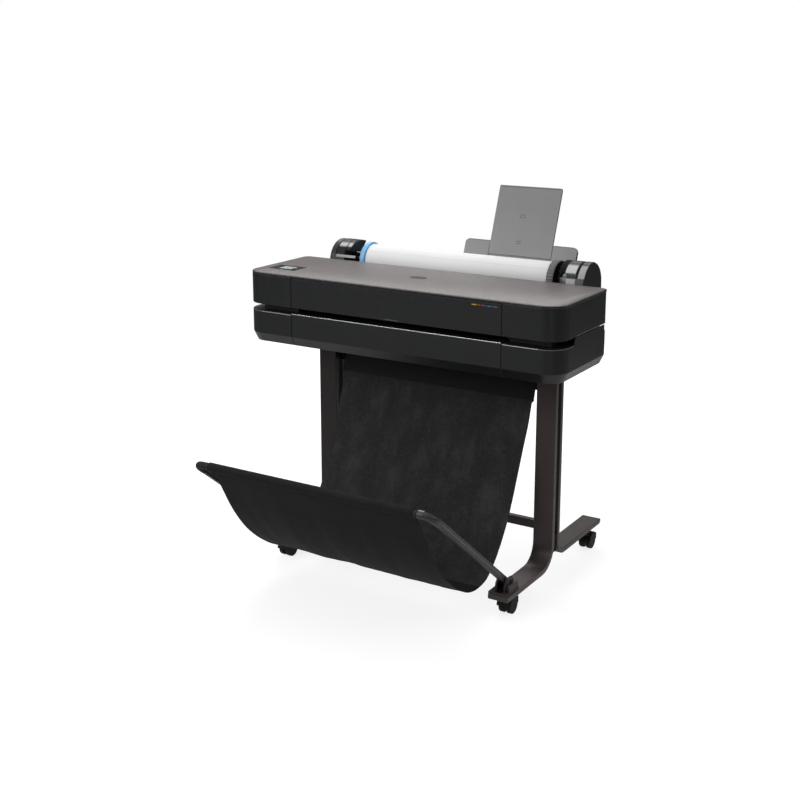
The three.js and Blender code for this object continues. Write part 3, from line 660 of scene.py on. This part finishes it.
# cover: a black tray-shaped rim, a narrow groove, and the brown inlay inside it
def loops(name, levels, mat, smooth=32.0):
    """Closed outlines of the same count, one above the other, capped at both ends."""
    bm = bmesh.new()
    rows = [[bm.verts.new(P(x, y, z)) for x, y in pts] for pts, z in levels]
    n = len(rows[0])
    for a, b in zip(rows, rows[1:]):
        for i in range(n):
            j = (i + 1) % n
            bm.faces.new((a[i], a[j], b[j], b[i]))
    bm.faces.new(list(reversed(rows[0]))); bm.faces.new(rows[-1])
    return from_bm(name, bm, mat, smooth)


def outline(t):
    return rrect(-506.5 + t, 506.5 - t, -200 + t, 108 - t, 58 - t, 22 - t)


put(loops("top_cover_rim", [(outline(0.3), 854.0), (outline(0), 854.4), (outline(0), 858.2), (outline(0.3), 858.9), (outline(0.9), 859.2), (outline(2.0), 859.2), (outline(2.4), 858.8), (outline(2.5), 857.4)], "lip", 60),
    ROOT, "top_cover", slotname="shell")
put(loops("top_cover_inlay", [(outline(3.0), 857.6), (outline(3.0), 858.7), (outline(3.15), 858.95), (outline(4.5), 860.2), (outline(5.0), 860.4)], "cover", 60), ROOT, slotname="cover")

def pocket(o, lo, hi):
    """Cut a box out of a piece."""
    bm = bmesh.new()
    bmesh.ops.create_cube(bm, size=1.0)
    for v in bm.verts:
        for k in range(3):
            v.co[k] = lo[k] if v.co[k] < 0 else hi[k]
    me = bpy.data.meshes.new("pocket_tool")
    bm.to_mesh(me); bm.free()
    tool = bpy.data.objects.new("pocket_tool", me)
    bpy.context.scene.collection.objects.link(tool)
    m = o.modifiers.new("pocket", "BOOLEAN")
    m.operation = "DIFFERENCE"; m.solver = "EXACT"; m.object = tool
    bpy.context.view_layer.update()
    apply_mods(o)
    bpy.data.objects.remove(tool, do_unlink=True)
    bpy.data.meshes.remove(me)


key_lo, key_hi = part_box("power_key")
for n in ("top_cover_rim", "top_cover_inlay"):
    pocket(bpy.data.objects[n], (key_lo.x - 0.0005, key_lo.y - 0.0005, 0.8500), (key_hi.x + 0.0005, key_hi.y + 0.0005, 0.8700))

badge = bmesh.new()
bz = []
for k, (sx, sz) in enumerate(((1.0, 860.35), (1.0, 860.9), (0.94, 861.1))):
    bz.append([badge.verts.new(P(-14.5 + 27 * sx * math.cos(2 * math.pi * i / 64), -31 + 17 * sx * math.sin(2 * math.pi * i / 64), sz)) for i in range(64)])
for k in range(2):
    for i in range(64):
        j = (i + 1) % 64
        badge.faces.new((bz[k][i], bz[k][j], bz[k + 1][j], bz[k + 1][i]))
badge.faces.new(bz[2]); badge.faces.new(list(reversed(bz[0])))
put(from_bm("badge_oval", badge, "inner_black"), ROOT, slotname="inner_black")

refine("display_bezel", "screen_glass", 0.0006, 2)
refine("display_screen", "screen_glass", 0.0003, 1)
put(block("display_lit", -446, -404, -115, -79, 860.5, 860.75, "screen", 0.05, 1), ROOT, slotname="screen")
for k, (a, b_, c, d) in enumerate(((-474, -466.8, -130, -66), (-389.2, -378, -130, -66), (-466.8, -389.2, -130, -129.7), (-466.8, -389.2, -66.3, -66))):
    put(block("display_frame_%d" % k, a, b_, c, d, 859.9, 860.75, "screen_glass", 0.1, 1), ROOT, slotname="screen_glass")
refine("power_key", "grey_plastic", 0.0005, 2)

# colour marks printed at the upper right of the window
x = 250.0
for k, w in (("ink_yellow", 15), ("mark_orange", 6), ("ink_magenta", 14), ("ink_cyan", 15), ("mark_grey", 12)):
    o = block("mark_" + k, x, x + w, -200.35, -199.7, 841.2, 844.4, k, 0.1, 1)
    put(o, "window", slotname="shell")
    x += w + 3.5
put(block("window_grip_mark", -20, 22, -200.4, -199.7, 769.6, 771.2, "mark_grey", 0.1, 1), "window", slotname="shell")

# ------------------------------------------------------------------ engine inside
refine("carriage_rail", "rail", 0.0003, 1)
refine("carriage", "inner_black", 0.0008, 2)
for k in ("yellow", "magenta", "cyan", "black"):
    refine("ink_" + k, "ink_" + k, 0.0008, 2)
refine("feed_roller", "rubber", 0.0004, 1)
refine("feed_pulley", "grey_plastic", 0.0005, 2)
refine("feed_motor", "steel", 0.0006, 2)
refine("motor_pulley", "steel", 0.0004, 1)
refine("feed_belt", "belt", 0.0003, 1)
refine("maintenance_station", "inner_black", 0.0008, 2)

# ------------------------------------------------------------------ roll bay
RY, RZ = 182.3, 855.6
refine("roll_cradle", "holder", 0.0009, 2)
refine("feeder_mount", "holder", 0.0009, 2)
refine("power_inlet", "inner_black", 0.0006, 2)
for n in ("left_roll_holder", "right_roll_holder"):
    refine(n, "holder", 0.0022, 3)


def arc_plate(name, x0, x1, a0, a1, r0, r1, mat, bev=0.5, n=28):
    """A curved plate round the holder axis; angles in degrees from the front, over the top."""
    pts = []
    for i in range(n + 1):
        a = math.radians(a0 + (a1 - a0) * i / n)
        pts.append((182.2 - r1 * math.cos(a), 847.6 + r1 * math.sin(a)))
    for i in range(n + 1):
        a = math.radians(a1 + (a0 - a1) * i / n)
        pts.append((182.2 - r0 * math.cos(a), 847.6 + r0 * math.sin(a)))
    return put(prism_yz(name, pts, min(x0, x1), max(x0, x1), mat, bev), ROOT, slotname="inner_black")


arc_plate("right_holder_inner_band", 365, 396.6, 36.6, 104, 63.4, 65.3, "band_in")
arc_plate("right_holder_outer_band", 405.2, 424.6, 24, 104, 63.4, 65.5, "band_out")
arc_plate("right_holder_block", 400.5, 424.4, 2, 23.6, 64.4, 66.0, "block_grey")
# painted shade: near-black plates fill the gap and the inner opening beside the right holder bands
arc_plate("right_holder_gap", 396.9, 404.9, 24, 104, 63.6, 64.9, "slot_black", 0.2)
arc_plate("right_holder_inner_dark", 345.2, 364.7, 36.6, 104, 63.6, 64.9, "slot_black", 0.2)
# painted reflection: a light strip stands in for the bright lower half of the spindle, the dark one beside it is the
# spindle's own black
arc_plate("right_saddle_painted_reflection", 372.3, 399.5, 5, 22.3, 64.4, 65.7, "painted_highlight_grey")
arc_plate("right_saddle_dark", 372.3, 399.5, 22.5, 36.2, 64.4, 65.4, "spindle")
arc_plate("left_holder_inner_band", -371.5, -357, 36.4, 104, 63.4, 65.3, "band_left")
arc_plate("left_holder_outer_band", -402, -374.6, 24, 104, 63.4, 65.5, "band_left")
# painted shade: near-black plates fill the gap, groove and inner opening beside the left holder bands
arc_plate("left_holder_gap", -374.3, -371.8, 24, 104, 63.6, 64.9, "slot_black", 0.2)
arc_plate("left_holder_groove", -406.5, -402.3, 24, 104, 63.6, 64.9, "slot_black", 0.2)
arc_plate("left_holder_inner_dark", -356.7, -345.3, 36.4, 104, 63.6, 64.9, "slot_black", 0.2)
# painted reflection: a light strip stands in for the bright lower half of the spindle
arc_plate("left_holder_painted_reflection", -401.5, -332, 15.5, 22.5, 62.6, 65.9, "painted_highlight_grey")


def saddle(name, x0, x1, a0, a1, r0, r1, mat, n=12):
    """Part of a sleeve round the spindle, fixed to the holder."""
    pts = []
    for i in range(n + 1):
        a = math.radians(a0 + (a1 - a0) * i / n)
        pts.append((182.3 - r1 * math.cos(a), 855.6 + r1 * math.sin(a)))
    for i in range(n + 1):
        a = math.radians(a1 + (a0 - a1) * i / n)
        pts.append((182.3 - r0 * math.cos(a), 855.6 + r0 * math.sin(a)))
    return put(prism_yz(name, pts, x0, x1, mat, 0.2), ROOT, slotname="inner_black")


# painted reflection: the light sleeve below the spindle stands in for its bright lower half; the dark hood above is
# the spindle's own black
saddle("right_bearing_painted_reflection", 334, 371.6, -40, 27, 20.6, 22.4, "painted_highlight_grey")
saddle("right_bearing_hood", 334, 371.6, 28, 80, 20.6, 22.0, "spindle")

put(lathe_x("spindle", [(-385, 0), (-385, 18.5), (-383.5, 20), (-358, 20), (-357.4, 19.2), (-356.6, 19.2), (-356, 20), (-333.5, 20), (-332, 18.5), (-332, 12), (332, 12),
                        (336, 12), (336, 18.5), (337.5, 20), (356, 20), (356.6, 19.2), (357.4, 19.2), (358, 20), (383.5, 20), (385, 18.5), (385, 0)], RY, RZ, "spindle", closed=False),
    "media_spindle", "spindle_rod")


def hub(name, x0, x1, sleeve, mat, node, teeth):
    """Flange with a rounded rim and, on one side, a sleeve that grips the core."""
    s = 1 if x1 > x0 else -1
    prof = [(x0, 12.6), (x0, 50.5), (x0 + s * 1.2, 53.2), (x0 + s * 3, 54), (x1 - s * 3, 54), (x1 - s * 1.2, 53.2), (x1, 50.5), (x1, 26), (x1, 25.2), (sleeve, 24.6), (sleeve, 12.6)]
    o = lathe_x(name, prof, RY, RZ, mat, n=144 if teeth else 96)
    if teeth:
        bm = bmesh.new(); bm.from_mesh(o.data)
        for v in bm.verts:
            d = Vector((0, v.co.y - (RY / 1000 + S), v.co.z - RZ / 1000))
            r = d.length * 1000
            xx = v.co.x * 1000
            if r > 53 and min(x0, x1) + 4 < xx + 0 < max(x0, x1) - 1 or r > 53.5:
                a = math.atan2(d.z, d.y)
                k = 0.5 + 0.5 * math.cos(a * 36)
                f = 1 - 0.028 * (1 if k < 0.45 else 0)
                v.co.y = RY / 1000 + S + d.y * f
                v.co.z = RZ / 1000 + d.z * f
        bm.to_mesh(o.data); bm.free()
        o.data.set_sharp_from_angle(angle=math.radians(25))
    return put(o, "media_spindle", node)


hub("left_hub", -322.6, -306.0, -270, "blue_hub", "left_hub_flange", False)
hub("right_hub", 327.4, 305.0, 270, "grey_plastic", "right_hub_flange", True)
put(lathe_x("right_hub_face", [(327.2, 20.6), (328.1, 20.6), (328.1, 51.2), (327.2, 51.6)], RY, RZ, "slot_black"), "media_spindle", slotname="inner_black")
put(lathe_x("core_tube", [(-305.5, 25.8), (-305.5, 28.4), (304.5, 28.4), (304.5, 25.8)], RY, RZ, "board"), "media_spindle", "roll_core")


def paper_roll():
    """Wound paper, with the free edge of the last turn standing a little proud."""
    n = 180
    bm = bmesh.new()
    def R(i):
        return 47.25 + 0.5 * (i / n)
    xs = [-305.3, -304.9, 304.0, 304.4]
    rings = []
    for k, xx in enumerate(xs):
        e = 0.25 if k in (0, 3) else 0.0
        rings.append([bm.verts.new(P(xx, RY + (R(i) - e) * math.cos(2 * math.pi * i / n + 2.4), RZ + (R(i) - e) * math.sin(2 * math.pi * i / n + 2.4))) for i in range(n + 1)])
    inner = [[bm.verts.new(P(xx, RY + 28.7 * math.cos(2 * math.pi * i / n + 2.4), RZ + 28.7 * math.sin(2 * math.pi * i / n + 2.4))) for i in range(n)] for xx in (xs[0], xs[3])]
    ends = []
    for k in range(3):
        for i in range(n):
            bm.faces.new((rings[k][i], rings[k][i + 1], rings[k + 1][i + 1], rings[k + 1][i]))
        bm.faces.new((rings[k][n], rings[k][0], rings[k + 1][0], rings[k + 1][n]))
    for i in range(n):
        j = (i + 1) % n
        o0 = rings[0][i + 1]; o3 = rings[3][i + 1]
        ends.append(bm.faces.new((rings[0][i], inner[0][i], inner[0][j], o0)))
        ends.append(bm.faces.new((rings[3][i], o3, inner[1][j], inner[1][i])))
        bm.faces.new((inner[0][i], inner[1][i], inner[1][j], inner[0][j]))
    bm.faces.new((rings[0][n], inner[0][0], rings[0][0]))
    bm.faces.new((rings[3][n], rings[3][0], inner[1][0]))
    for f in ends:
        f.material_index = 1
    o = from_bm("paper_roll_wound", bm, "paper", 40)
    o.data.materials.append(MAT["paper_end"])
    return put(o, "media_spindle", "paper_roll")


paper_roll()

# ------------------------------------------------------------------ feeder
refine("feeder_tray", "tray_grey", 0.0012, 3)
refine("tray_extension", "tray_grey", 0.0010, 3)


def lean_box(name, x0, x1, u0, u1, v0, v1, mat, body, bev=0.25, slotname="tray_grey"):
    """A small bar in the plane of the feeder tray: u across its thickness, v up its face."""
    o = block(name, x0, x1, u0, u1, v0, v1, mat, bev, 2)
    t = math.radians(-20)
    back = Matrix.Translation((0, -S, 0))
    o.data.transform(Matrix.Translation((0, 0.253 + S, 0.874)) @ Matrix.Rotation(t, 4, "X") @ back)
    return put(o, body, slotname=slotname)


lean_box("extension_lip", 55.6, 259.4, -4.2, -0.5, 228.4, 229.8, "tray_edge", "extension")
lean_box("extension_side", 259.5, 260.35, -4.1, -0.5, 24, 227.5, "tray_side", "extension", 0.15)
lean_box("tray_side", 338.6, 339.4, -4.05, 4.05, -6.5, 50, "tray_side", ROOT, 0.15)
lean_box("tray_lip_left", -16, 54.0, -4.3, 4.2, 60.8, 62.35, "tray_edge", ROOT)
lean_box("tray_lip_right", 261, 327, -4.3, 4.2, 60.8, 62.35, "tray_edge", ROOT)
for v, w in ((146, 15), (66, 12)):
    for k, (dx, dv, hw, hv) in enumerate(((0, 0, w / 2, 0.7), (0, -w * 0.55, w / 2, 0.7), (-w / 2, -w * 0.28, 0.6, w * 0.28), (w / 2, -w * 0.28, 0.6, w * 0.28))):
        lean_box("sheet_mark_%d_%d" % (v, k), 148 + dx - hw, 148 + dx + hw, -4.12, -3.9, v + dv - hv, v + dv + hv, "tray_edge", "extension", 0.05)

# ------------------------------------------------------------------ stand
# left legs darker and right front bar lighter than the rear bar: painted shade and painted light in one brown
for n in ("left_leg_front_bar", "right_leg_front_bar", "left_leg_rear_bar", "right_leg_rear_bar"):
    refine(n, "stand_shaded_left" if n.startswith("left") else ("stand_lit_right" if "front" in n else "stand_brown"), 0.0022, 3)
refine("cross_bar", "stand_brown", 0.0016, 3)
for side, s_ in (("left", -1), ("right", 1)):
    # near-black plates fill the slots in the leg bars, where the slots show dark
    for k, (z0, z1) in enumerate(((185, 640), (96, 150))):
        a, b_ = sorted((s_ * 341, s_ * 396.5))
        put(block("%s_slot_dark_fill_%d" % (side, k), a, b_, 36.0, 55.0, z0, z1, "slot_black", 0.6), ROOT, slotname="inner_black")
for n in ("left_arm_bracket", "right_arm_bracket"):
    refine(n, "bracket", 0.0010, 2)
for n in ("left_bin_arm", "right_bin_arm"):
    refine(n, "arm", 0.0012, 2, angle=40)
dy, dz = -600 + 22 + 206, 408 - 17 - 96
L_ = math.hypot(dy, dz); uy, uz = dy / L_, dz / L_
# raised ribs along each arm, coloured lighter than the arm as a painted highlight
for side, s_ in (("left", -1), ("right", 1)):
    for k, off in enumerate((-6.15, 6.15)):
        pts = []
        for t, h in ((46, -1.6), (L_ - 26, -1.6), (L_ - 26, 1.6), (46, 1.6)):
            pts.append((-206 + uy * t - uz * h, 96 + uz * t + uy * h))
        put(prism_yz("%s_arm_rib_%d" % (side, k), pts, s_ * 366 + off - 0.35, s_ * 366 + off + 0.35, "arm_rib_highlight", 0.2), "bin_frame", slotname="arm")


def elbow(side, s_):
    """Ribbed moulded corner that joins the front bar to the arm."""
    ctrl = [Vector((s_ * 329.6, -600, 408)), Vector((s_ * 345, -599.8, 407.8)), Vector((s_ * 358, -595, 404)), Vector((s_ * 365, -583, 394)), Vector((s_ * 366, -566, 381))]
    n, m = 40, 20
    bm = bmesh.new(); rows = []
    for i in range(n + 1):
        t = i / n * (len(ctrl) - 1)
        k = min(int(t), len(ctrl) - 2); f = t - k
        p0 = ctrl[max(0, k - 1)]; p1 = ctrl[k]; p2 = ctrl[k + 1]; p3 = ctrl[min(len(ctrl) - 1, k + 2)]
        c = 0.5 * ((2 * p1) + (p2 - p0) * f + (2 * p0 - 5 * p1 + 4 * p2 - p3) * f * f + (3 * p1 - p0 - 3 * p2 + p3) * f ** 3)
        d = ((p2 - p0) * 0.5 + (2 * p0 - 5 * p1 + 4 * p2 - p3) * f + 1.5 * (3 * p1 - p0 - 3 * p2 + p3) * f * f).normalized()
        if d.length < 0.5:
            d = Vector((s_, 0, 0))
        side_v = d.cross(Vector((0, 0, 1))).normalized(); up = side_v.cross(d).normalized()
        r = 10.4 - (0.9 if i in (0, n) else 0) - 0.35 * (i % 4 == 0 and 2 < i < 22)
        rows.append([bm.verts.new(P(*(c + side_v * r * math.cos(2 * math.pi * q / m) + up * r * math.sin(2 * math.pi * q / m)))) for q in range(m)])
    for a, b in zip(rows, rows[1:]):
        for q in range(m):
            w = (q + 1) % m
            bm.faces.new((a[q], a[w], b[w], b[q]))
    bm.faces.new(list(reversed(rows[0]))); bm.faces.new(rows[-1])
    put(from_bm(side + "_bin_elbow", bm, "elbow" if s_ > 0 else "bar", 50), "bin_frame", slotname="arm")


elbow("left", -1); elbow("right", 1)
# painted highlight on the right elbow
put(block("right_elbow_painted_highlight", 330.5, 347, -603.5, -596.5, 417.9, 418.75, "painted_highlight_grey", 0.3, 1), "bin_frame", slotname="arm")
for side, s_ in (("left", -1), ("right", 1)):
    # painted shade: near-black plates on the ears' inner faces, on the pocket floor between them and in the well
    for k, (a, b_) in enumerate(((356.02, 356.5), (375.5, 375.98))):
        put(block("%s_bracket_ear_shade_%d" % (side, k), *sorted((s_ * a, s_ * b_)), -229, -184, 75.6, 99, "slot_black", 0.05, 1), ROOT, slotname="bracket")
    put(block(side + "_bracket_pocket", *sorted((s_ * 356.6, s_ * 375.4)), -245, -178, 75.3, 75.9, "slot_black", 0.05, 1), ROOT, slotname="bracket")
    put(block(side + "_bracket_well", *sorted((s_ * 382.1, s_ * 385.3)), -229, -184, 75.3, 88, "slot_black", 0.05, 1), ROOT, slotname="bracket")
refine("bin_front_bar", "bar", 0.0006, 2)
for c in ("front_left", "front_right", "rear_left", "rear_right"):
    refine("caster_" + c, "rubber", 0.0006, 2)
    refine("caster_wheel_" + c, "rubber", 0.0010, 2, angle=40)

# ------------------------------------------------------------------ bin cloth
REAR = [(57, 648), (54, 605), (47, 570), (38, 538), (30, 508), (21, 476), (10, 446), (-14, 390), (-40, 330), (-66, 270), (-91, 221), (-119, 178), (-146, 143), (-176, 113), (-205, 92)]
FRONT = [(-226, 84), (-252, 80.5), (-280, 81), (-315, 89), (-350, 106), (-385, 129), (-420, 156), (-455, 189), (-490, 231), (-522, 279), (-548, 326), (-570, 366), (-583, 388)]
WRAP = [(-588.5, 399), (-588.4, 409), (-591, 416), (-600, 420.5), (-609, 416), (-611.8, 408), (-609, 400), (-600, 396), (-592, 394)]


def spline(pts, step=6.0):
    """Points about step mm apart along a smooth curve through pts."""
    out = []
    for i in range(len(pts) - 1):
        p0 = Vector(pts[max(0, i - 1)]); p1 = Vector(pts[i]); p2 = Vector(pts[i + 1]); p3 = Vector(pts[min(len(pts) - 1, i + 2)])
        n = max(1, round((p2 - p1).length / step))
        for k in range(n):
            t = k / n
            out.append(0.5 * ((2 * p1) + (p2 - p0) * t + (2 * p0 - 5 * p1 + 4 * p2 - p3) * t * t + (3 * p1 - p0 - 3 * p2 + p3) * t ** 3))
    out.append(Vector(pts[-1]))
    return out


path = spline(REAR + FRONT + WRAP, 6.0)
slen = [0.0]
for a, b in zip(path, path[1:]):
    slen.append(slen[-1] + (b - a).length)
CLOTH_L = slen[-1] / 1000.0
CLOTH_W = 0.636
NX = 110


def cloth():
    bm = bmesh.new()
    uvl = bm.loops.layers.uv.new("cloth")
    rows = []
    band_end = next(i for i, p in enumerate(path) if p.y < 533)
    front_from = next(i for i, p in enumerate(path) if p.x < -250)
    seams = [next(i for i, p in enumerate(path) if p.y < z) for z in (262, 152)]
    for i, p in enumerate(path):
        a = path[max(0, i - 1)]; b = path[min(len(path) - 1, i + 1)]
        t = (b - a).normalized(); nrm = Vector((-t.y, t.x))
        s = slen[i] / 1000.0
        hang = max(0.0, min(1.0, (slen[i] - slen[band_end]) / 120.0))
        tail = max(0.0, min(1.0, (slen[-1] - slen[i] - 90) / 100.0))
        row = []
        for k in range(NX + 1):
            u = -0.5 + k / NX
            x = u * CLOTH_W * 1000
            # shallow tension folds that run down the panel and fade at its held ends
            w = noise.noise(Vector((x * 0.011, s * 1.3, 3.1))) * 2.6 + noise.noise(Vector((x * 0.034, s * 2.2, 8.4))) * 1.0
            w *= hang * tail
            # free side edges pull in a little where the sling is deepest
            pull = 1 - 0.012 * hang * tail * math.sin(min(1.0, s / CLOTH_L) * math.pi)
            # sewn seams stand in by a fraction of a millimetre, and the stiff top band is a little wider
            for q in seams:
                w -= 1.1 * math.exp(-((i - q) / 0.8) ** 2)
            w += 0.9 * math.exp(-((i - band_end) / 0.9) ** 2)
            wide = 1.016 if i <= band_end else 1.0
            row.append(bm.verts.new(P(x * pull * wide, p.x + nrm.x * w, p.y + nrm.y * w)))
        rows.append(row)
    for i in range(len(rows) - 1):
        for k in range(NX):
            f = bm.faces.new((rows[i][k], rows[i][k + 1], rows[i + 1][k + 1], rows[i + 1][k]))
            us = [(k / NX, i), ((k + 1) / NX, i), ((k + 1) / NX, i + 1), (k / NX, i + 1)]
            for lp, (uu, ii) in zip(f.loops, us):
                lp[uvl].uv = (uu * CLOTH_W, slen[ii] / 1000.0)
            f.material_index = 1 if i < band_end else (2 if i >= front_from else 0)
            f.smooth = True
    me = bpy.data.meshes.new("bin_cloth")
    bm.to_mesh(me); bm.free()
    o = obj_of("bin_cloth", me, "fabric", None)
    me.materials.append(MAT["band"]); me.materials.append(MAT["fabric_front"])
    so = o.modifiers.new("thick", "SOLIDIFY")
    so.thickness = 0.0012; so.offset = 0.0
    apply_mods(o)
    for p in o.data.polygons:
        p.use_smooth = True
    o.data.set_sharp_from_angle(angle=math.radians(50))
    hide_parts("bin_fabric_rear", "bin_fabric_front")
    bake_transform(o)
    return o


cloth()
# the two upright clips that hold the sides of the stiff top band
for side, s_ in (("left", -1), ("right", 1)):
    put(block(side + "_band_clip", *sorted((s_ * 322.6, s_ * 337.6)), 44.0, 60.0, 563.0, 648.0, "slot_black", 0.8, 2), ROOT, slotname="inner_black")
